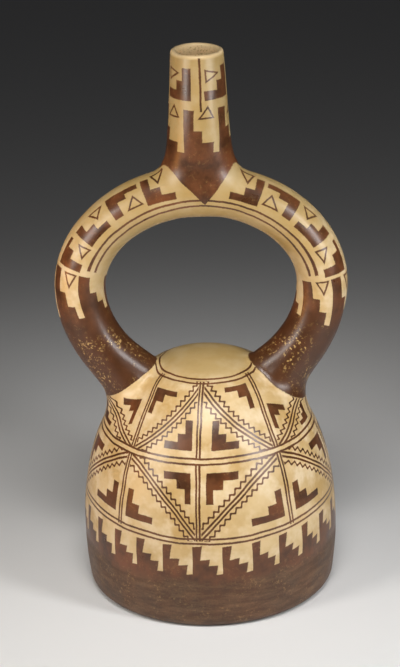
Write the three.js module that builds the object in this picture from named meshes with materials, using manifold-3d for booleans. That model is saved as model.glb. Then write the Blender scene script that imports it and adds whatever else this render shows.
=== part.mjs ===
// Stirrup spout vessel: a hollow bottle of fired clay. A domed chamber stands on a flat underside,
// a loop of tube rises from its two shoulders, and one short spout stands on top of the loop.
// Chamber, loop and spout are one piece, and the same hollow runs through all three.
//
// Millimetres, +Z up. The origin is on the underside, below the middle of the loop. The loop lies
// in the XZ plane, and the chamber's axis stands CHAMBER_X to one side of the loop's.
import * as THREE from 'three';
import { mergeVertices } from 'three/addons/utils/BufferGeometryUtils.js';
import Module from 'manifold-3d';

// Chamber
const CHAMBER_X = 1.2;
const BELLY_R = 67;
const BELLY_Z = 32;
const CROWN_Z = 128.5;
const DOME_POWER = 2.18;
const FOOT_TAPER = 2.6;
const FOOT_TAPER_POWER = 2.5;
const FOOT_EDGE_R = 5;
const CHAMBER_WALL = 5;
const FLOOR_THICKNESS = 6;
const FLOOR_EDGE_R = 9;

// Loop: two half ellipses of one width, the upper one flatter than the lower
const LOOP_HALF_WIDTH = 62.3;
const LOOP_WIDEST_Z = 166;
const LOOP_RISE = 50.7;
const LOOP_DROP = 60;
const LOOP_TURN = THREE.MathUtils.degToRad(140);
const LOOP_END = 19;
const TUBE_R = 13.1;
const TUBE_WALL = 4;
const SHOULDER_FLARE = 3.2;
const SHOULDER_FLARE_LENGTH = 12;
const SHOULDER_DEPTH = 5;

// Spout: a slender cone. At its base it is drawn out along the loop and pinched in across it.
const SPOUT_TOP_Z = 290;
const SPOUT_BASE_Z = 232;
const SPOUT_TOP_R = 13.1;
const SPOUT_BASE_R = 16.9;
const SPOUT_ROOT_DEPTH = 24;
const SPOUT_FLARE = 0.12;
const SPOUT_FLARE_LENGTH = 6;
const SPOUT_PINCH = 0.18;
const SPOUT_PINCH_LENGTH = 13;
const SPOUT_WALL = 4;
const LIP_WALL = 2.9;
const LIP_ROUND = 1.2;

// Facets
const CHAMBER_SIDES = 48;
const TUBE_SIDES = 18;
const TUBE_STEPS = 56;
const SPOUT_SIDES = 28;
const CAVITY_SIDES = 32;
const BORE_SIDES = 14;
const BORE_STEPS = 40;

const clay = new THREE.MeshStandardMaterial({ color: 0xcdb07c, roughness: 0.5, metalness: 0 });

const wasm = await Module();
wasm.setup();

// A closed three.js geometry as a manifold solid.
function solid(geometry) {
  geometry.deleteAttribute('normal');
  geometry.deleteAttribute('uv');
  const merged = mergeVertices(geometry, 1e-4);
  const corners = merged.index.array;
  const kept = [];
  for (let i = 0; i < corners.length; i += 3) {
    const [a, b, c] = [corners[i], corners[i + 1], corners[i + 2]];
    if (a !== b && b !== c && c !== a) kept.push(a, b, c);
  }
  const positions = merged.attributes.position.array;
  const mesh = { numProp: 3, vertProperties: positions, triVerts: new Uint32Array(kept) };
  return new wasm.Manifold(new wasm.Mesh(mesh));
}

// A solid of revolution about a vertical line at x. The profile runs upwards as [radius, z] pairs.
function turned(profile, sides, x) {
  const points = profile.map(([radius, z]) => new THREE.Vector2(Math.max(radius, 0), z));
  return new THREE.LatheGeometry(points, sides).rotateX(Math.PI / 2).translate(x, 0, 0);
}

// The chamber's radius at a height, for a wall that lies inset inside the outer surface.
function chamberRadius(z, inset) {
  const radius = BELLY_R - inset;
  if (z < BELLY_Z) {
    return radius - FOOT_TAPER * ((BELLY_Z - z) / BELLY_Z) ** FOOT_TAPER_POWER;
  }
  const rise = Math.min((z - BELLY_Z) / (CROWN_Z - inset - BELLY_Z), 1);
  return radius * (1 - rise ** DOME_POWER) ** (1 / DOME_POWER);
}

// The chamber's profile: flat below, a rounded lower edge, the belly, and a dome up to the axis.
function chamberProfile(inset, floorZ, edgeR, edgeSteps, bellySteps, domeSteps) {
  const points = [[0, floorZ]];
  const edgeRadius = chamberRadius(floorZ + edgeR, inset) - edgeR;
  for (let i = 0; i <= edgeSteps; i += 1) {
    const turn = (i / edgeSteps) * (Math.PI / 2);
    points.push([edgeRadius + edgeR * Math.sin(turn), floorZ + edgeR * (1 - Math.cos(turn))]);
  }
  for (let i = 1; i <= bellySteps; i += 1) {
    const z = THREE.MathUtils.lerp(floorZ + edgeR, BELLY_Z, i / bellySteps);
    points.push([chamberRadius(z, inset), z]);
  }
  for (let i = 1; i <= domeSteps; i += 1) {
    const climb = Math.sin((i / domeSteps) * (Math.PI / 2));
    const z = BELLY_Z + climb * (CROWN_Z - inset - BELLY_Z);
    points.push([chamberRadius(z, inset), z]);
  }
  return points;
}

// The middle line of the loop, from inside one shoulder, over the top, to inside the other. The
// ellipses stop at LOOP_TURN from the top on each side and run straight on into the chamber.
class LoopCurve extends THREE.Curve {
  getPoint(t, target = new THREE.Vector3()) {
    const steps = LOOP_TURN + LOOP_END / LOOP_HALF_WIDTH;
    const angle = (2 * t - 1) * steps;
    const turn = THREE.MathUtils.clamp(angle, -LOOP_TURN, LOOP_TURN);
    const height = Math.cos(turn) > 0 ? LOOP_RISE : LOOP_DROP;
    target.set(LOOP_HALF_WIDTH * Math.sin(turn), 0, LOOP_WIDEST_Z + height * Math.cos(turn));
    const beyond = Math.abs(angle - turn) * LOOP_HALF_WIDTH;
    const inward = new THREE.Vector3(
      Math.sign(turn) * LOOP_HALF_WIDTH * Math.cos(turn),
      0,
      -height * Math.abs(Math.sin(turn)),
    ).normalize();
    return target.addScaledVector(inward, beyond);
  }
}

// A tube along the loop, narrowed by inset, that widens where it comes near the chamber.
function loopTube(inset, sides, steps) {
  const curve = new LoopCurve();
  const geometry = new THREE.CylinderGeometry(1, 1, 1, sides, steps);
  const place = geometry.attributes.position;
  const across = new THREE.Vector3(0, 1, 0);
  const vertex = new THREE.Vector3();
  for (let i = 0; i < place.count; i += 1) {
    vertex.fromBufferAttribute(place, i);
    const t = THREE.MathUtils.clamp(0.5 - vertex.y, 0, 1);
    const middle = curve.getPoint(t);
    const outward = curve.getTangent(t).cross(across).normalize();
    const chamberEdge = chamberRadius(Math.min(middle.z, CROWN_Z), 0);
    const shoulder = Math.hypot(
      Math.max(Math.abs(middle.x) - chamberEdge, 0),
      Math.max(middle.z - (CROWN_Z - SHOULDER_DEPTH), 0),
    );
    const radius = TUBE_R - inset + SHOULDER_FLARE * Math.exp(-shoulder / SHOULDER_FLARE_LENGTH);
    middle.addScaledVector(outward, vertex.x * radius).addScaledVector(across, -vertex.z * radius);
    place.setXYZ(i, middle.x, middle.y, middle.z);
  }
  return geometry;
}

// The spout as [radius, z] pairs, narrowed by inset: a rounded root sunk in the loop, then a cone.
function spoutProfile(inset, topInset, topZ, rootSteps, coneSteps) {
  const points = [];
  for (let i = 0; i <= rootSteps; i += 1) {
    const turn = (i / rootSteps) * (Math.PI / 2);
    const depth = (SPOUT_ROOT_DEPTH - inset) * Math.cos(turn);
    points.push([(SPOUT_BASE_R - inset) * Math.sin(turn), SPOUT_BASE_Z - depth]);
  }
  for (let i = 1; i <= coneSteps; i += 1) {
    const climb = (i / coneSteps) ** 2;
    const radius = THREE.MathUtils.lerp(SPOUT_BASE_R - inset, SPOUT_TOP_R - topInset, climb);
    points.push([radius, THREE.MathUtils.lerp(SPOUT_BASE_Z, topZ, climb)]);
  }
  return points;
}

// Draws a spout solid out along the loop and pinches it across, most at its base, so that it runs
// out into the loop.
function flareSpout(geometry) {
  const place = geometry.attributes.position;
  for (let i = 0; i < place.count; i += 1) {
    const above = Math.max(place.getZ(i) - SPOUT_BASE_Z, 0);
    place.setX(i, place.getX(i) * (1 + SPOUT_FLARE * Math.exp(-above / SPOUT_FLARE_LENGTH)));
    place.setY(i, place.getY(i) * (1 - SPOUT_PINCH * Math.exp(-above / SPOUT_PINCH_LENGTH)));
  }
  return geometry;
}

function outerSolid() {
  const chamber = turned(chamberProfile(0, 0, FOOT_EDGE_R, 4, 4, 16), CHAMBER_SIDES, CHAMBER_X);
  const spout = spoutProfile(0, 0, SPOUT_TOP_Z - LIP_ROUND, 8, 5);
  spout.push([SPOUT_TOP_R - LIP_ROUND / 3, SPOUT_TOP_Z - LIP_ROUND / 3]);
  spout.push([SPOUT_TOP_R - LIP_ROUND, SPOUT_TOP_Z], [0, SPOUT_TOP_Z]);
  return solid(chamber)
    .add(solid(loopTube(0, TUBE_SIDES, TUBE_STEPS)))
    .add(solid(flareSpout(turned(spout, SPOUT_SIDES, 0))));
}

// The hollow: the chamber's inside, the bore of the loop, and the bore of the spout, which runs on
// above the lip so that the mouth is open.
function innerSolid() {
  const room = chamberProfile(CHAMBER_WALL, FLOOR_THICKNESS, FLOOR_EDGE_R, 3, 2, 12);
  const bore = spoutProfile(SPOUT_WALL, LIP_WALL, SPOUT_TOP_Z, 5, 4);
  bore.push([SPOUT_TOP_R - LIP_WALL, SPOUT_TOP_Z + LIP_WALL], [0, SPOUT_TOP_Z + LIP_WALL]);
  return solid(turned(room, CAVITY_SIDES, CHAMBER_X))
    .add(solid(loopTube(TUBE_WALL, BORE_SIDES, BORE_STEPS)))
    .add(solid(flareSpout(turned(bore, SPOUT_SIDES, 0))));
}

function vesselMesh() {
  const result = outerSolid().subtract(innerSolid()).getMesh();
  const geometry = new THREE.BufferGeometry();
  geometry.setAttribute('position', new THREE.BufferAttribute(result.vertProperties, 3));
  geometry.setIndex(new THREE.BufferAttribute(result.triVerts, 1));
  geometry.computeVertexNormals();
  const mesh = new THREE.Mesh(geometry, clay);
  mesh.name = 'vessel';
  return mesh;
}

const vessel = new THREE.Group();
vessel.add(vesselMesh());

export default vessel;
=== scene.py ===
"""Stirrup spout vessel: the finish of the whole pot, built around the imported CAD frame.

The pot is one fired piece, so it is one mesh. The mesh is the zero surface of a smooth solid:
chamber, loop and spout run into each other with soft joints, and a hollow runs through all three.
Its paint is a set of flat distance fields, in millimetres along the surface, made of math nodes.

Lengths of the pot and its paint are in millimetres. The mesh, camera and lights are in metres.
"""

import math
from types import SimpleNamespace

import bpy
import numpy as np
from mathutils import Matrix, Vector


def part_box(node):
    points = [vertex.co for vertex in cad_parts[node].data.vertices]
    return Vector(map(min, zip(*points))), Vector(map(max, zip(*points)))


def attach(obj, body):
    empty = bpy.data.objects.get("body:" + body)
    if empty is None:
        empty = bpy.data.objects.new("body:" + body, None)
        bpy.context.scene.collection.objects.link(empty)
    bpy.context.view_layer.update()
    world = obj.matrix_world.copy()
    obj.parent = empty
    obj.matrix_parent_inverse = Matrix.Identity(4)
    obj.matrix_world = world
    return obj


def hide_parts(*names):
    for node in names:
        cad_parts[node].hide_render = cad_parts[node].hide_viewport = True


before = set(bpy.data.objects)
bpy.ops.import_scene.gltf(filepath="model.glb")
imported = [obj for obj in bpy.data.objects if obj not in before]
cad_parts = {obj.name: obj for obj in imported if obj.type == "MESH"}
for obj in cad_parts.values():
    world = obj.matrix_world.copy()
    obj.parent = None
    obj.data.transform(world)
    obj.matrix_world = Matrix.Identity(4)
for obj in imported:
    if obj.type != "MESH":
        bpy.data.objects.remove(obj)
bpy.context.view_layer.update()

MM = 0.001
low, high = (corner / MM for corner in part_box("vessel"))

# Chamber
CHAMBER_X = 1.2
BELLY_R = (high.y - low.y) / 2
BELLY_Z = 32
CROWN_Z = 127.7
DOME_POWER = 2.18
FOOT_TAPER = 2.6
FOOT_TAPER_POWER = 2.5
FOOT_EDGE_R = 5
CHAMBER_WALL = 5
FLOOR_THICKNESS = 6
FLOOR_EDGE_R = 9

# Loop
TUBE_R = 13.1
LOOP_HALF_WIDTH = 62.3
LOOP_WIDEST_Z = 166
LOOP_RISE = 50.7
LOOP_DROP = 60
LOOP_TURN = math.radians(140)
LOOP_END = 19
LOOP_X = -0.4
ARCH_POWER = 1.94
FOOT_FLARE = 2.4
FOOT_FLARE_OUTWARD = 6.4
FOOT_FLARE_LENGTH = 8.5
TUBE_WALL = 4

# Spout
SPOUT_TOP_Z = high.z
SPOUT_BASE_Z = 232
SPOUT_TOP_R = 13.1
SPOUT_BASE_R = 16.6
SPOUT_X = 0.7
SPOUT_ROOT_DEPTH = 24
SPOUT_FLARE = 0.12
SPOUT_FLARE_LENGTH = 6
SPOUT_PINCH = 0.18
SPOUT_PINCH_LENGTH = 13
SPOUT_WALL = 4
LIP_WALL = 2.9
LIP_ROUND = 1.6

# Joints between the parts
LEG_FILLET = 3.5
LEG_FILLET_OUTWARD = 8
SPOUT_FILLET = 7
BORE_FILLET = 6

# The slight unevenness of a pot shaped by hand
HAND_SWELL = 0.22
HAND_FADE_Z = 14

# Points along the outlines of chamber and loop
EDGE_POINTS = 12
BELLY_POINTS = 20
DOME_POINTS = 110
ARCH_POINTS = 90
DROP_POINTS = 50

# Mesh
CELL = 1.55
SETTLING_STEPS = 4
LEAST_SLOPE = 0.2

# Tables of distances: how fine they are, and what they cover, as (out from the middle, z)
TABLE_STEP = 0.5
TABLE_LOW = (0, -12)
TABLE_HIGH = (110, 310)


# ---------------------------------------------------------------- the solid

def smooth_min(a, b, reach):
    """The lower of two fields, blended where they come within reach of each other."""
    overlap = np.maximum(reach - np.abs(a - b), 0) / reach
    return np.minimum(a, b) - overlap * overlap * reach / 4


def smooth_max(a, b, reach):
    return -smooth_min(-a, -b, reach)


class Line:
    """A line drawn in a plane, with tables of the distance to it and the length along it."""

    def __init__(self, points):
        counts = (np.subtract(TABLE_HIGH, TABLE_LOW) / TABLE_STEP).astype(int) + 1
        axes = [TABLE_LOW[i] + TABLE_STEP * np.arange(counts[i]) for i in (0, 1)]
        u, v = np.meshgrid(*axes, indexing="ij")
        start, end = points[:-1], points[1:]
        step = end - start
        lengths = np.hypot(step[:, 0], step[:, 1])
        self.points = points
        self.lengths = np.concatenate([[0], np.cumsum(lengths)])
        nearest = np.full(u.shape, np.inf)
        self.side = np.zeros(u.shape)
        self.along = np.zeros(u.shape)
        for i in range(len(start)):
            du, dv = u - start[i, 0], v - start[i, 1]
            t = np.clip((du * step[i, 0] + dv * step[i, 1]) / lengths[i] ** 2, 0, 1)
            distance = np.hypot(du - t * step[i, 0], dv - t * step[i, 1])
            turn = step[i, 0] * dv - step[i, 1] * du
            closer = distance < nearest
            nearest = np.where(closer, distance, nearest)
            self.side = np.where(closer, np.where(turn > 0, distance, -distance), self.side)
            self.along = np.where(closer, self.lengths[i] + t * lengths[i], self.along)

    def look_up(self, table, u, v):
        """The table's value at points (u, v), by straight lines between its entries."""
        place = []
        for value, start, count in zip((u, v), TABLE_LOW, table.shape):
            scaled = np.clip((value - start) / TABLE_STEP, 0, count - 1.001)
            whole = scaled.astype(int)
            place.append((whole, scaled - whole))
        (i, fi), (j, fj) = place
        lower = table[i, j] * (1 - fj) + table[i, j + 1] * fj
        upper = table[i + 1, j] * (1 - fj) + table[i + 1, j + 1] * fj
        return lower * (1 - fi) + upper * fi


def chamber_radius(z):
    if z < BELLY_Z:
        return BELLY_R - FOOT_TAPER * ((BELLY_Z - z) / BELLY_Z) ** FOOT_TAPER_POWER
    rise = min((z - BELLY_Z) / (CROWN_Z - BELLY_Z), 1)
    return BELLY_R * (1 - rise**DOME_POWER) ** (1 / DOME_POWER)


def chamber_line():
    """The chamber's outline from the middle of the underside to the crown, as (radius, z)."""
    points = [(0, 0)]
    edge = chamber_radius(FOOT_EDGE_R) - FOOT_EDGE_R
    for turn in np.linspace(0, math.pi / 2, EDGE_POINTS):
        points.append((edge + FOOT_EDGE_R * math.sin(turn), FOOT_EDGE_R * (1 - math.cos(turn))))
    points += [(chamber_radius(z), z) for z in np.linspace(FOOT_EDGE_R + 1, BELLY_Z, BELLY_POINTS)]
    for turn in np.linspace(0.015, math.pi / 2, DOME_POINTS):
        z = BELLY_Z + math.sin(turn) * (CROWN_Z - BELLY_Z)
        points.append((chamber_radius(z), z))
    return Line(np.array(points))


def loop_line():
    """The loop's middle line from the top down one side, as (distance from the middle, z)."""
    points = []
    for turn in np.linspace(0, math.pi / 2, ARCH_POINTS):
        out, up = (wave ** (2 / ARCH_POWER) for wave in (math.sin(turn), max(math.cos(turn), 0)))
        points.append((LOOP_HALF_WIDTH * out, LOOP_WIDEST_Z + LOOP_RISE * up))
    for turn in np.linspace(math.pi / 2 + 0.02, LOOP_TURN, DROP_POINTS):
        points.append((LOOP_HALF_WIDTH * math.sin(turn), LOOP_WIDEST_Z + LOOP_DROP * math.cos(turn)))
    ahead = np.array([LOOP_HALF_WIDTH * math.cos(LOOP_TURN), -LOOP_DROP * math.sin(LOOP_TURN)])
    points.append(tuple(points[-1] + ahead / np.linalg.norm(ahead) * LOOP_END))
    return Line(np.array(points))


CHAMBER = chamber_line()
LOOP = loop_line()


def chamber_field(p):
    return -CHAMBER.look_up(CHAMBER.side, np.hypot(p[0] - CHAMBER_X, p[1]), p[2])


def loop_look_up(table, p):
    return LOOP.look_up(table, np.abs(p[0] - LOOP_X), p[2])


def loop_field(p):
    return np.hypot(loop_look_up(LOOP.side, p), p[1]) - TUBE_R


def outward_share(p):
    """1 on the loop's outer side, 0 on its front and back, and -1 on its inner side."""
    lift = loop_look_up(LOOP.side, p)
    return lift / np.maximum(np.hypot(lift, p[1]), 1)


def leg_field(p):
    """The loop's outside, where it widens into feet on the chamber, most on its outer side."""
    flare = np.maximum(FOOT_FLARE + FOOT_FLARE_OUTWARD * outward_share(p), 0)
    nearness = np.exp(-np.maximum(chamber_field(p), 0) / FOOT_FLARE_LENGTH)
    return loop_field(p) - flare * nearness


def spout_field(p, inset, lip_inset):
    """The spout's cone, open at the top, over a rounded root that is sunk in the loop."""
    above = np.maximum(p[2] - SPOUT_BASE_Z, 0)
    across_x = (p[0] - SPOUT_X) / (1 + SPOUT_FLARE * np.exp(-above / SPOUT_FLARE_LENGTH))
    across_y = p[1] / (1 - SPOUT_PINCH * np.exp(-above / SPOUT_PINCH_LENGTH))
    across = np.hypot(across_x, across_y)
    climb = above / (SPOUT_TOP_Z - SPOUT_BASE_Z)
    radius = (SPOUT_BASE_R - inset) * (1 - climb) + (SPOUT_TOP_R - lip_inset) * climb
    cone = across - radius
    below = np.minimum(p[2] - SPOUT_BASE_Z, 0) / (SPOUT_ROOT_DEPTH - inset)
    root = (np.hypot(across / radius, below) - 1) * radius
    return np.where(p[2] > SPOUT_BASE_Z, cone, root)


def hand(p):
    """How far the surface lies under the even one, in waves. The underside stays flat."""
    swell = (
        np.sin(p[0] / 19 + 1.1) * np.sin(p[1] / 23 + 0.4) * np.sin(p[2] / 17)
        + 0.6 * np.sin(p[0] / 9.1 + p[2] / 13) * np.sin(p[1] / 8.3 + p[2] / 21 + 2)
        + 0.25 * np.sin(p[0] / 4.3 + p[1] / 5.9) * np.sin(p[2] / 4.9 + p[1] / 7)
    )
    return HAND_SWELL * swell * np.clip(p[2] / HAND_FADE_Z, 0, 1)


def outer_field(p):
    joint = LEG_FILLET + LEG_FILLET_OUTWARD * np.maximum(outward_share(p), 0)
    body = smooth_min(chamber_field(p), leg_field(p), joint)
    spout = smooth_max(spout_field(p, 0, 0), p[2] - SPOUT_TOP_Z, LIP_ROUND)
    return smooth_min(body, spout, SPOUT_FILLET) + hand(p)


def inner_field(p):
    room = smooth_max(chamber_field(p) + CHAMBER_WALL, FLOOR_THICKNESS - p[2], FLOOR_EDGE_R)
    bores = smooth_min(loop_field(p) + TUBE_WALL, spout_field(p, SPOUT_WALL, LIP_WALL), BORE_FILLET)
    return smooth_min(room, bores, BORE_FILLET)


def vessel_field(p):
    return smooth_max(outer_field(p), -inner_field(p), LIP_ROUND)


# ---------------------------------------------------------------- the mesh

def surface_net(values):
    """Vertices, in cells, and four-sided faces of the surface where values on a grid cross zero."""
    inside = values < 0
    cells = tuple(n - 1 for n in values.shape)
    total = np.zeros((3,) + cells)
    count = np.zeros(cells)
    crossings = []
    for axis in range(3):
        first = np.moveaxis(values, axis, 0)[:-1]
        second = np.moveaxis(values, axis, 0)[1:]
        crossed = np.moveaxis(inside, axis, 0)
        where = crossed[:-1] != crossed[1:]
        fraction = np.where(where, first / np.where(where, first - second, 1), 0)
        index = np.array(np.nonzero(np.moveaxis(where, 0, axis)))
        fraction = np.moveaxis(fraction, 0, axis)[tuple(index)]
        crossings.append((index, inside[tuple(index)]))
        others = [a for a in range(3) if a != axis]
        for back_a in (0, 1):
            for back_b in (0, 1):
                cell = index.copy()
                cell[others[0]] -= back_a
                cell[others[1]] -= back_b
                fits = np.all([(cell[a] >= 0) & (cell[a] < cells[a]) for a in range(3)], axis=0)
                point = index.astype(float)
                point[axis] += fraction
                target = tuple(cell[:, fits])
                np.add.at(count, target, 1)
                for a in range(3):
                    np.add.at(total[a], target, point[a, fits])
    used = count > 0
    number = np.full(cells, -1)
    number[used] = np.arange(used.sum())
    vertices = (total[:, used] / count[used]).T
    faces = []
    for axis, (index, starts_inside) in enumerate(crossings):
        b, c = (axis + 1) % 3, (axis + 2) % 3
        ring = []
        for back_b, back_c in ((0, 0), (1, 0), (1, 1), (0, 1)):
            cell = index.copy()
            cell[b] -= back_b
            cell[c] -= back_c
            ring.append(number[tuple(cell)])
        ring = np.array(ring).T
        faces.append(np.where(starts_inside[:, None], ring, ring[:, ::-1]))
    return vertices, np.concatenate(faces)


def slope(field, p, step=0.4):
    """The field's gradient at points."""
    parts = []
    for axis in range(3):
        shift = np.zeros((3, 1))
        shift[axis] = step
        parts.append((field(p + shift) - field(p - shift)) / (2 * step))
    return np.array(parts)


def smoothstep(value, start, end):
    t = np.clip((value - start) / (end - start), 0, 1)
    return t * t * (3 - 2 * t)


def vessel_mesh():
    """The surface as a net of four-sided faces, whose vertices then settle onto it."""
    margin = 2 * CELL
    start = np.array(low) - margin
    counts = np.ceil((np.array(high) + margin - start) / CELL).astype(int) + 1
    axes = [start[a] + CELL * np.arange(counts[a]) for a in range(3)]
    grid = np.array(np.meshgrid(*axes, indexing="ij"))
    vertices, faces = surface_net(vessel_field(grid))
    p = vertices.T * CELL + start[:, None]
    for _ in range(SETTLING_STEPS):
        gradient = slope(vessel_field, p)
        p = p - gradient * vessel_field(p) / np.maximum((gradient**2).sum(axis=0), LEAST_SLOPE)
    mesh = bpy.data.meshes.new("vessel_finish")
    mesh.from_pydata((p.T * MM).tolist(), [], faces.tolist())
    mesh.shade_smooth()
    add_paint_coordinates(mesh, p)
    return mesh


def add_paint_coordinates(mesh, p):
    """Writes where each vertex is on the three parts, for the paint.

    climb: length along the chamber's outline from the middle of the underside.
    steep: how much the outline rises there, from 0, level, to 1, upright.
    along: length along the loop from its top. lift: distance outwards from its middle line.
    off_chamber: distance outside the chamber. neck: above 0 nearer the spout than the loop.
    bore: 1 inside the pot, 0 outside.
    """
    climb = CHAMBER.look_up(CHAMBER.along, np.hypot(p[0] - CHAMBER_X, p[1]), p[2])
    rises = np.diff(CHAMBER.points[:, 1]) / np.diff(CHAMBER.lengths)
    coordinates = {
        "climb": climb,
        "steep": np.interp(climb, CHAMBER.lengths[:-1], rises),
        "along": loop_look_up(LOOP.along, p),
        "lift": loop_look_up(LOOP.side, p),
        "off_chamber": chamber_field(p),
        "neck": loop_field(p) - spout_field(p, 0, 0),
        "bore": smoothstep(-outer_field(p), 0.4, 1.6) * (inner_field(p) > -1.2),
    }
    for name, values in coordinates.items():
        attribute = mesh.attributes.new(name, "FLOAT", "POINT")
        attribute.data.foreach_set("value", values.astype(np.float32))


# ---------------------------------------------------------------- fields made of math nodes

class Field:
    """A number that varies over the surface, carried by a socket of the material's nodes."""

    def __init__(self, socket):
        self.socket = socket

    def __add__(self, other):
        return work_out("ADD", self, other)

    def __radd__(self, other):
        return work_out("ADD", self, other)

    def __sub__(self, other):
        return work_out("SUBTRACT", self, other)

    def __rsub__(self, other):
        return work_out("SUBTRACT", other, self)

    def __mul__(self, other):
        return work_out("MULTIPLY", self, other)

    def __rmul__(self, other):
        return work_out("MULTIPLY", self, other)

    def __truediv__(self, other):
        return work_out("DIVIDE", self, other)

    def __rtruediv__(self, other):
        return work_out("DIVIDE", other, self)

    def __neg__(self):
        return work_out("MULTIPLY", self, -1)

    def __abs__(self):
        return work_out("ABSOLUTE", self)


def work_out(operation, *terms, clamp=False):
    """A math node over fields and plain numbers."""
    tree = next(term.socket.id_data for term in terms if isinstance(term, Field))
    node = tree.nodes.new("ShaderNodeMath")
    node.operation = operation
    node.use_clamp = clamp
    for socket, term in zip(node.inputs, terms):
        if isinstance(term, Field):
            tree.links.new(term.socket, socket)
        else:
            socket.default_value = term
    return Field(node.outputs[0])


def lowest(first, *rest):
    for other in rest:
        first = work_out("MINIMUM", first, other)
    return first


def highest(first, *rest):
    for other in rest:
        first = work_out("MAXIMUM", first, other)
    return first


def wrap(field, span):
    """The field's remainder within 0 to span."""
    return work_out("WRAP", field, 0, span)


def fold(field, span):
    """The field going up from 0 to span and down again, without end."""
    return work_out("PINGPONG", field, span)


def sine(degrees):
    return work_out("SINE", degrees * math.radians(1))


def cosine(degrees):
    return work_out("COSINE", degrees * math.radians(1))


def heading(side, ahead):
    """The angle in degrees from ahead towards side."""
    return work_out("ARCTAN2", side, ahead) * math.degrees(1)


def share(field, start, end):
    """0 where the field is below start, 1 where it is past end, and a straight ramp between."""
    return work_out("MULTIPLY_ADD", field, 1 / (end - start), -start / (end - start), clamp=True)


# ---------------------------------------------------------------- flat shapes, below 0 inside

def stroke(distance, width):
    return abs(distance) - width / 2


def pair(distance, spacing, width):
    """Two parallel strokes, spacing apart."""
    return stroke(abs(distance) - spacing / 2, width)


def step_fret(a, b, arm, stem, block):
    """An L with one step in its angle. Its corner is at 0, 0: arm and stem are (length, width)."""
    bars = lowest(
        highest(a - arm[0], b - arm[1]),
        highest(a - stem[1], b - stem[0]),
        highest(a - block[0], b - block[1]),
    )
    return highest(bars, -a, -b)


def triangle(u, v, corners, width=0.9):
    """The outline of a triangle."""
    middle = np.mean(corners, axis=0)
    sides = []
    for start, end in zip(corners, corners[1:] + corners[:1]):
        out = np.array([end[1] - start[1], start[0] - end[0]], float)
        out /= np.linalg.norm(out)
        if out @ (middle - start) > 0:
            out = -out
        along_u = work_out("MULTIPLY_ADD", u, float(out[0]), float(-(out @ np.array(start))))
        sides.append(work_out("MULTIPLY_ADD", v, float(out[1]), along_u))
    return stroke(highest(*sides), width)


def stairs(q, depth, steps, lean=0.0):
    """A tooth with steps going down from its left side, as (right edge, depth of the top) pairs.

    q is the distance from the tooth's left side, and depth the distance below the teeth's tips.
    The right edges lean in towards the bottom.
    """
    parts = [highest(q + depth * lean - edge, top - depth) for edge, top in steps[:-1]]
    return lowest(*parts, steps[-1][1] - depth)


# ---------------------------------------------------------------- the painted patterns

# Chamber: heights of the three double rings, and the eight double verticals
FRONT_VERTICAL = -6
VERTICALS = 8
CELL_ANGLE = 360 / VERTICALS
RING_TOP_Z = 121.9
RING_MIDDLE_Z = 90.6
RING_LOW_Z = 50.6
RING_LOW_DIP = 2.1
RING_GAP = 2.9
RING_LOW_GAP = 2.6
LINE = 1.12
FAN = 14
FAN_POWER = 3.6
LINE_MARGIN = 1.7

# Diagonals, each with a wavy line on both sides
DIAGONAL_TOP_Z = 120.6
DIAGONAL_GAP = 2.0
LEG_CELL_DROP = 0.247
WAVE_OFFSET = 3.6
WAVE_HEIGHT = 0.75
WAVE_LENGTH = 3.9

FRET_TOP_Z = 117
BASE_TEETH = 27
BASE_TOOTH_START = 4.6
BASE_TOOTH_TIP_Z = 47.6
SCUFF_Z = 28.5

LOOP_TEETH = 5
SPOUT_TEETH = 5
SPOUT_FRETS = 4
RIM_Z = 288


def climb_at(z):
    """Length along the chamber's outline at a height, from the middle of the underside."""
    return float(np.interp(z, CHAMBER.points[1:, 1], CHAMBER.lengths[1:]))


def diagonals(distance, along):
    """A double line with a wavy line on each side."""
    wave = work_out("SINE", along * (2 * math.pi / WAVE_LENGTH)) * WAVE_HEIGHT
    wavy = stroke(abs(distance) - WAVE_OFFSET - wave, LINE * 1.15)
    return lowest(pair(distance, DIAGONAL_GAP, LINE), wavy)


def fan_out(turn, z):
    """The angle as the verticals divide it, and how fast the leaning makes it grow with the true one.

    On the left the verticals are shifted, and near the top they lean towards the legs.
    """
    shift = work_out("MINIMUM", sine(turn) * 4.6 + sine(turn * 2) * 2.6, 0)
    upper_share = work_out("POWER", share(z, RING_MIDDLE_Z, RING_TOP_Z), FAN_POWER)
    fanned = turn + shift - upper_share * sine(turn * 2) * FAN
    rate = 1 - upper_share * cosine(turn * 2) * (2 * math.radians(FAN))
    return fanned, rate


class Cell:
    """Where a point is in its cell, between two verticals.

    w is in degrees, across and back are in millimetres, and wide is millimetres to a degree.
    in_margin is above 0 close to the verticals. by_leg and right are 1 or 0.
    """

    def __init__(self, turn, z, degree):
        fanned, rate = fan_out(turn, z)
        self.w = fold(fanned, CELL_ANGLE)
        self.wide = degree / rate
        self.across = self.w * self.wide
        self.back = (CELL_ANGLE - self.w) * self.wide
        self.in_margin = highest(LINE_MARGIN - self.across, LINE_MARGIN - self.back)
        self.by_leg = work_out("LESS_THAN", abs(abs(fanned) - 90), CELL_ANGLE)
        self.right = work_out("GREATER_THAN", turn, 0)


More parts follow.
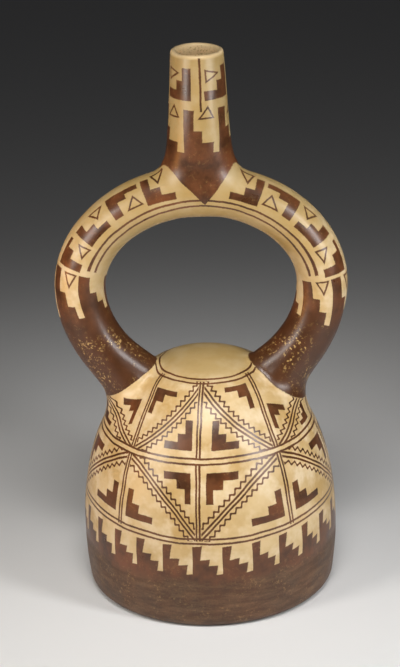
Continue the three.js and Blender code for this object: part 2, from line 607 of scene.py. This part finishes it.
def upper_band(cell, z, climb, middle_climb, steep):
    """The diagonal and the frets between the middle ring and the top one. By the legs they are lower."""
    fall = (DIAGONAL_TOP_Z - RING_MIDDLE_Z) / CELL_ANGLE - cell.by_leg * LEG_CELL_DROP
    lean = fall / cell.wide
    off_line = z - RING_MIDDLE_Z - (CELL_ANGLE - cell.w) * fall
    off_line = off_line / work_out("SQRT", steep * steep + lean * lean)
    diagonal = diagonals(off_line, cell.across * 0.66 - climb * 0.75)

    from_top = climb_at(FRET_TOP_Z) - climb
    a = cell.back - 2.2 - cell.right * 2.4
    b = from_top + 1.3 + cell.right * 3.2
    tall_fret = step_fret(a, b, (16.6, 3.0), (14.6, 3.1), (8, 7.4))
    a = cell.back - 6.2 + cell.right * 2.8
    b = from_top - 8.5 - cell.right * 1.8 - a * 0.42
    leg_fret = step_fret(a, b, (11.8, 3.0), (13.4, 2.8), (6.6, 6.2))
    a = (cell.across - 3.7 - cell.right * 3.0) * (0.92 + cell.right * 0.2 + cell.by_leg * 0.35)
    b = (middle_climb - 5.4 + cell.by_leg * 1.6) * (1 + cell.by_leg * 0.7)
    frets = lowest(
        step_fret(a, b, (16, 4.0), (15.6, 4.0), (8.4, 8.2)),
        highest(tall_fret, cell.by_leg * 9 - 4),
        highest(leg_fret, 5 - cell.by_leg * 9),
    )
    return lowest(highest(diagonal, cell.in_margin), frets)


def lower_band(cell, z, climb, middle_climb, low_z, low_climb):
    """The diagonal and the frets between the low ring and the middle one."""
    rise = RING_MIDDLE_Z - low_z
    q = cell.w / CELL_ANGLE
    lean = rise * (1.5 - q * 1.1) / (cell.wide * CELL_ANGLE)
    off_line = z - low_z - rise * q * (1.5 - q * 0.55)
    off_line = off_line / work_out("SQRT", lean * lean + 1)
    diagonal = diagonals(off_line, cell.across * 0.78 + climb * 0.62)
    frets = lowest(
        step_fret(cell.across - 4.3, -5.9 - middle_climb, (16.5, 4.0), (16, 3.7), (8.6, 8.6)),
        step_fret(cell.back - 3.9, low_climb - 5.7, (19.2, 3.8), (15, 4.2), (9.4, 8.2)),
    )
    return lowest(highest(diagonal, cell.in_margin), frets)


def base_teeth(angle, degree, climb, low_z):
    """The brown foot of the pot and the stepped teeth that stand up from it."""
    tooth = wrap(angle - BASE_TOOTH_START, 360 / BASE_TEETH) * degree
    depth = climb_at(BASE_TOOTH_TIP_Z) + (low_z - RING_LOW_Z) * 0.5 - climb + tooth * 0.1
    steps = ((5.1, 0), (10.2, 7.7), (15.1, 11.3), (99, 16.8))
    return stairs(tooth, depth, steps, lean=0.16)


def chamber_paint(x, y, z, climb, steep, gap):
    angle = heading(x - CHAMBER_X, -y)
    radius = work_out("SQRT", (x - CHAMBER_X) * (x - CHAMBER_X) + y * y)
    degree = radius * math.radians(1)
    low_z = RING_LOW_Z + RING_LOW_DIP * (1 - cosine(angle * 2))
    low_climb = climb - climb_at(RING_LOW_Z) - (low_z - RING_LOW_Z)
    middle_climb = climb - climb_at(RING_MIDDLE_Z)
    top_climb = climb - climb_at(RING_TOP_Z) - highest(gap, 0) * 0.8
    rings = lowest(
        pair(top_climb, RING_GAP, LINE),
        pair(middle_climb, RING_GAP, LINE),
        pair(low_climb, RING_LOW_GAP, LINE),
    )

    cell = Cell(angle - FRONT_VERTICAL, z, degree)
    verticals = stroke(lowest(cell.across, cell.back) - 0.9, LINE)
    upper = highest(upper_band(cell, z, climb, middle_climb, steep), -middle_climb)
    lower = highest(lower_band(cell, z, climb, middle_climb, low_z, low_climb), middle_climb)
    in_bands = highest(RING_GAP / 2 - abs(middle_climb), top_climb, -low_climb)
    bands = highest(lowest(verticals, upper, lower), in_bands)
    return lowest(rings, bands, base_teeth(angle, degree, climb, low_z))


def loop_paint(x, y, along, lift):
    is_right = work_out("GREATER_THAN", x, 0)
    turn = heading(lift, -y)
    girth = heading(lift, abs(y)) * (TUBE_R * math.radians(1))
    s = along - is_right * (4 + share(along, 62, 80) * 2.8)
    taper = share(along, 58, 74) * 0.35
    lines = lowest(
        stroke(girth + 1.0 + s * 0.022, LINE) - taper,
        stroke(girth + 4.1 + s * 0.032, LINE) - taper * 0.4,
    )
    lines = highest(lines, s - 74)
    frets = lowest(
        step_fret(25.5 - s, girth - 0.9, (14.5, 3.7), (14.8, 3.6), (8, 7.8)),
        step_fret(43.2 - s, 15.2 - girth, (16, 2.9), (12.8, 4.8), (9.5, 5.6)),
        step_fret(61.2 - s, girth - 1.6, (14.5, 3.7), (12.4, 4.0), (9, 7.2)),
        step_fret(76 - s, 15.0 - girth, (12, 2.3), (13.6, 4.3), (8, 6.4)),
    )
    signs = lowest(
        triangle(s, girth, [(20.5, 16.8), (14.6, 17.6), (18.0, 11.3)]),
        triangle(s, girth, [(30.6, 9.0), (27.8, 3.2), (35.2, 3.4)]),
        triangle(s, girth, [(46.0, 14.2), (52.4, 14.6), (49.6, 9.4)]),
        triangle(s, girth, [(64.2, 7.6), (63.2, 1.6), (68.8, 3.0)]),
    )
    side_turn = turn * (is_right * 2 - 1)
    tooth = wrap(side_turn + 6 - is_right * 24 - (s - 78) * 0.5, 360 / LOOP_TEETH)
    tooth = tooth * (TUBE_R * math.radians(1))
    steps = ((5.9, 0), (9.6, 10.0), (13.4, 16.8), (99, 23.2))
    teeth = stairs(tooth, s - 77.6, steps)
    slot_sign = triangle(tooth, s, [(8.9, 78.2), (14.9, 78.2), (11.8, 84.6)])
    return lowest(lines, frets, signs, teeth, highest(slot_sign, -4 - girth))


def spout_lap(x, y, lift):
    """The point of brown that hangs from the spout over the front and the back of the loop."""
    above_tip = heading(lift, abs(y)) * (TUBE_R * math.radians(1)) + 3.6
    return (abs(x - 2.9 + above_tip * 0.11) - above_tip * 0.86) / 1.3


def spout_paint(x, y, z):
    angle = heading(x - SPOUT_X, -y)
    degree = work_out("SQRT", (x - SPOUT_X) * (x - SPOUT_X) + y * y) * math.radians(1)
    tooth = wrap(angle + 31, 360 / SPOUT_TEETH) * degree
    steps = ((5.6, 0), (9.8, 10.8), (16.2, 17.0), (99, 22.4))
    teeth = stairs(tooth, 263 - z, steps, lean=0.03)
    low_sign = triangle(tooth, z, [(12.4, 264.2), (8.2, 258.6), (15.4, 258.8)])
    a = wrap(-14 - angle, 360 / SPOUT_FRETS) * degree
    frets = step_fret(a, z - 267.6, (15.6, 4.7), (16.2, 4.9), (8.5, 9.6))
    high_sign = triangle(a, z, [(14.0, 282.8), (7.4, 280.8), (13.9, 276.8)])
    line = stroke(fold(angle - 4.5, 180) * degree, 1.1)
    line = highest(line, 262 - z, z - 289)
    return lowest(teeth, low_sign, frets, high_sign, line)


# ---------------------------------------------------------------- the fired clay

CREAM = (0.63, 0.46, 0.24)
CREAM_PALE = (0.73, 0.59, 0.39)
CREAM_DEEP = (0.48, 0.31, 0.115)
# Olive cream on the crown: partly the slip's own tone, partly painted shade where the dome faces up.
CREAM_OLIVE_AND_SHADE = (0.36, 0.245, 0.085)
# A paler cream than the slip: painted light on the rim and inside the mouth.
MOUTH_PAINTED_LIGHT = (0.88, 0.66, 0.37)
BROWN = (0.135, 0.048, 0.017)
BROWN_DARK = (0.062, 0.023, 0.008)
BROWN_RED = (0.190, 0.056, 0.017)
SCUFFED = (0.062, 0.029, 0.012)
SCUFF_PALE = (0.165, 0.092, 0.044)

BRUSH_WANDER = 1.3
EDGE_ROUGHNESS = 0.5
OUT_OF_BORE = 20
BUMP_DEPTH = 0.6


def coordinate(tree, name):
    node = tree.nodes.new("ShaderNodeAttribute")
    node.attribute_name = name
    return Field(node.outputs["Fac"])


def noise(tree, place, size, detail=2.0, roughness=0.5, stretch=(1, 1, 1)):
    """Noise with features of a size in millimetres, drawn out by stretch. Returns its node."""
    mapping = tree.nodes.new("ShaderNodeMapping")
    mapping.inputs["Scale"].default_value = [1 / (size * MM * s) for s in stretch]
    tree.links.new(place, mapping.inputs["Vector"])
    node = tree.nodes.new("ShaderNodeTexNoise")
    node.inputs["Scale"].default_value = 1
    node.inputs["Detail"].default_value = detail
    node.inputs["Roughness"].default_value = roughness
    tree.links.new(mapping.outputs[0], node.inputs["Vector"])
    return node


def parts_of(tree, vector):
    node = tree.nodes.new("ShaderNodeSeparateXYZ")
    tree.links.new(vector, node.inputs[0])
    return [Field(socket) for socket in node.outputs]


def blend_colour(tree, amount, under, over):
    """under, covered by over as far as amount says. Colours are sockets or plain triples."""
    node = tree.nodes.new("ShaderNodeMix")
    node.data_type = "RGBA"
    tree.links.new(amount.socket, node.inputs["Factor"])
    for name, colour in (("A", under), ("B", over)):
        socket = next(s for s in node.inputs if s.name == name and s.type == "RGBA")
        if isinstance(colour, tuple):
            socket.default_value = (*colour, 1)
        else:
            tree.links.new(colour, socket)
    return next(s for s in node.outputs if s.type == "RGBA")


def mottle(at, size, **settings):
    """Noise as a field, mostly near 0.5."""
    return Field(noise(at.tree, at.place, size, **settings).outputs["Fac"])


def surface_fields(tree):
    """What the paint and the clay go by: the place on the surface, and noise of three sizes."""
    place = tree.nodes.new("ShaderNodeTexCoord").outputs["Object"]
    at = SimpleNamespace(tree=tree, place=place)
    at.x, at.y, at.z = (part / MM for part in parts_of(tree, place))
    for name in ("climb", "along", "lift", "off_chamber", "neck", "steep", "bore"):
        setattr(at, name, coordinate(tree, name))
    at.grain = mottle(at, 0.9, detail=2)
    at.patches = mottle(at, 11, detail=3, roughness=0.6)
    at.tone = mottle(at, 26, detail=4, roughness=0.62)
    return at


def painted_ink(at):
    """Distance to the edge of the brown paint: below 0 on it, and above 0 on cream."""
    # The brush wanders a little from where each shape should be.
    wander = parts_of(at.tree, noise(at.tree, at.place, 14, detail=1.5).outputs["Color"])
    dx, dy, dz = ((part - 0.5) * BRUSH_WANDER for part in wander)
    x, y, z = at.x + dx, at.y + dy, at.z + dz
    lift = at.lift + dz

    # The loop's paint ends in a line round each foot, lower on the right.
    outward = work_out("SINE", work_out("ARCTAN2", at.lift, abs(at.y)))
    foot_edge = highest(4.2 - work_out("GREATER_THAN", at.x, 0) * 3.5 + outward * 2.2, 0.9)
    off_loop = foot_edge - at.off_chamber + dz * 0.6
    chamber = highest(chamber_paint(x, y, z, at.climb + dz, at.steep, at.off_chamber), -off_loop)
    loop = highest(loop_paint(x, y, at.along + dx, lift), off_loop, at.neck - 1.5)
    lap = spout_lap(x, y, lift)
    spout = highest(spout_paint(x, y, z), 0.5 - at.neck, lap)
    ink = lowest(chamber, loop, spout, highest(lap, at.neck - 3, off_loop))
    return ink + at.bore * OUT_OF_BORE


def cream_colour(at):
    """Cream slip in patches; crown olive, partly painted shade; rim and inside paler, painted light;
    specks inside.
    """
    cream = blend_colour(at.tree, share(at.tone, 0.36, 0.62), CREAM_DEEP, CREAM)
    cream = blend_colour(at.tree, share(at.patches, 0.46, 0.68) * 0.75, cream, CREAM_PALE)
    # The crown turns olive and darker: partly the slip's tone, partly painted shade.
    crown_olive_and_shade = share(at.climb, climb_at(118), climb_at(125))
    cream = blend_colour(at.tree, crown_olive_and_shade * 0.7, cream, CREAM_OLIVE_AND_SHADE)
    # The rim and the inside of the mouth get the paler cream, which is painted light; the specks inside
    # are real.
    cream = blend_colour(at.tree, share(at.z, RIM_Z, RIM_Z + 1.6) * 0.8, cream, MOUTH_PAINTED_LIGHT)
    specks_on_painted_light = blend_colour(at.tree, share(at.grain, 0.54, 0.72), MOUTH_PAINTED_LIGHT, CREAM_DEEP)
    return blend_colour(at.tree, at.bore, cream, specks_on_painted_light)


def brown_colour(at, low_scuff):
    """Brown slip: dark and red in patches, streaked on the scuffed foot, specked on the legs' fronts."""
    on_legs = share(at.along, 98, 112) * share(at.off_chamber, 0, 1)
    lightness = share(at.patches, 0.38, 0.62) * (1 - on_legs * 0.75)
    brown = blend_colour(at.tree, lightness, BROWN_DARK, BROWN)
    redness = share(at.tone, 0.5, 0.7) * (0.6 - on_legs * 0.4)
    brown = blend_colour(at.tree, redness, brown, BROWN_RED)

    streaks = mottle(at, 5, detail=4, roughness=0.65, stretch=(3, 3, 0.6))
    streaks = share(streaks + (at.grain - 0.5) * 0.3, 0.4, 0.7)
    rubbed = blend_colour(at.tree, streaks, SCUFFED, SCUFF_PALE)
    brown = blend_colour(at.tree, low_scuff * 0.7, brown, rubbed)

    leg_scuff = share(abs(at.along - 128), 26, 6) * share(at.off_chamber, 1, 5) * share(at.y, 2, -6)
    specks = share(mottle(at, 1.7, detail=3, roughness=0.7), 0.55, 0.66)
    clusters = share(mottle(at, 13, detail=2), 0.44, 0.6)
    worn = specks * clusters * (leg_scuff * 1.2 + low_scuff * 0.15 + 0.15)
    return blend_colour(at.tree, worn, brown, CREAM_DEEP)


def add_bump(at, shader):
    """The marks of rubbing the clay smooth, and its grain."""
    rubbing = mottle(at, 7, detail=2, stretch=(1, 1, 3))
    height = rubbing * 0.5 + at.grain * 0.16
    bump = at.tree.nodes.new("ShaderNodeBump")
    bump.inputs["Strength"].default_value = 0.35
    bump.inputs["Distance"].default_value = BUMP_DEPTH * MM
    at.tree.links.new(height.socket, bump.inputs["Height"])
    at.tree.links.new(bump.outputs[0], shader.inputs["Normal"])


def make_clay():
    material = bpy.data.materials.new("clay")
    material.use_nodes = True
    tree = material.node_tree
    shader = tree.nodes["Principled BSDF"]
    at = surface_fields(tree)
    ink = painted_ink(at) + (at.grain - 0.5) * EDGE_ROUGHNESS
    cover = share(ink, 0.14, -0.16)
    low_scuff = share(at.z + (at.patches - 0.5) * 7, SCUFF_Z + 2, SCUFF_Z - 3)
    colour = blend_colour(tree, cover, cream_colour(at), brown_colour(at, low_scuff))
    tree.links.new(colour, shader.inputs["Base Color"])

    roughness = 0.39 + (at.patches - 0.5) * 0.25 + low_scuff * 0.2 - cover * 0.07 + at.bore * 0.3
    tree.links.new(roughness.socket, shader.inputs["Roughness"])
    shader.inputs["Specular IOR Level"].default_value = 0.5
    add_bump(at, shader)
    return material


# ---------------------------------------------------------------- light, floor and camera

CAMERA_PLACE = Vector((-1.68, -1108.1, 599.6)) * MM
CAMERA_PITCH = math.radians(22.62)
CAMERA_ROLL = math.radians(-1.633)
CAMERA_LENS = 124.76
FLOOR_REACH = 3.0


def add_camera():
    forward = Vector((0, math.cos(CAMERA_PITCH), -math.sin(CAMERA_PITCH)))
    level = Vector((1, 0, 0))
    upright = Vector((0, math.sin(CAMERA_PITCH), math.cos(CAMERA_PITCH)))
    right = level * math.cos(CAMERA_ROLL) + upright * math.sin(CAMERA_ROLL)
    up = upright * math.cos(CAMERA_ROLL) - level * math.sin(CAMERA_ROLL)
    data = bpy.data.cameras.new("camera")
    data.lens = CAMERA_LENS
    camera = bpy.data.objects.new("camera", data)
    bpy.context.scene.collection.objects.link(camera)
    turn = Matrix((right, up, -forward)).transposed().to_4x4()
    camera.matrix_world = Matrix.Translation(CAMERA_PLACE) @ turn
    bpy.context.scene.camera = camera


def add_area_light(name, place, aim, size, power, colour, spread):
    data = bpy.data.lights.new(name, "AREA")
    data.shape = "RECTANGLE"
    data.size, data.size_y = size
    data.energy = power
    data.color = colour
    data.spread = math.radians(spread)
    light = bpy.data.objects.new(name, data)
    bpy.context.scene.collection.objects.link(light)
    light.location = place
    light.rotation_mode = "QUATERNION"
    light.rotation_quaternion = (Vector(aim) - Vector(place)).to_track_quat("-Z", "Y")


def add_lights():
    """A soft upright strip on each side in front, a weak light above, and an orange glow on the left."""
    front = (0, -0.13, 0.08)
    add_area_light(
        "left", place=(-0.29, -0.25, 0.26), aim=front, size=(0.1, 0.26),
        power=0.95, colour=(1, 0.97, 0.92), spread=180,
    )
    add_area_light(
        "right", place=(0.29, -0.25, 0.26), aim=front, size=(0.07, 0.26),
        power=1.15, colour=(1, 1, 1), spread=180,
    )
    add_area_light(
        "top", place=(0, -0.36, 0.74), aim=(0, -0.04, 0.12), size=(0.3, 0.14),
        power=0.23, colour=(1, 0.98, 0.95), spread=44,
    )
    add_area_light(
        "warm", place=(-0.42, -0.16, 0.1), aim=(-0.05, 0, 0.19), size=(0.12, 0.12),
        power=0.045, colour=(1, 0.38, 0.05), spread=60,
    )


def add_floor():
    mesh = bpy.data.meshes.new("floor")
    reach = FLOOR_REACH
    corners = [(-reach, -reach, 0), (reach, -reach, 0), (reach, reach, 0), (-reach, reach, 0)]
    mesh.from_pydata(corners, [], [(0, 1, 2, 3)])
    floor = bpy.data.objects.new("floor", mesh)
    bpy.context.scene.collection.objects.link(floor)
    material = bpy.data.materials.new("floor")
    material.use_nodes = True
    shader = material.node_tree.nodes["Principled BSDF"]
    shader.inputs["Base Color"].default_value = (0.72, 0.72, 0.72, 1)
    shader.inputs["Roughness"].default_value = 0.7
    mesh.materials.append(material)


def add_world():
    world = bpy.data.worlds.new("studio")
    world.use_nodes = True
    background = world.node_tree.nodes["Background"]
    background.inputs["Color"].default_value = (0.5, 0.5, 0.52, 1)
    background.inputs["Strength"].default_value = 0.04
    bpy.context.scene.world = world


vessel = bpy.data.objects.new("vessel_finish", vessel_mesh())
bpy.context.scene.collection.objects.link(vessel)
vessel.data.materials.append(make_clay())
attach(vessel, "root")
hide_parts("vessel")

bpy.context.scene.view_settings.view_transform = "Standard"
add_camera()
add_floor()
add_world()
add_lights()
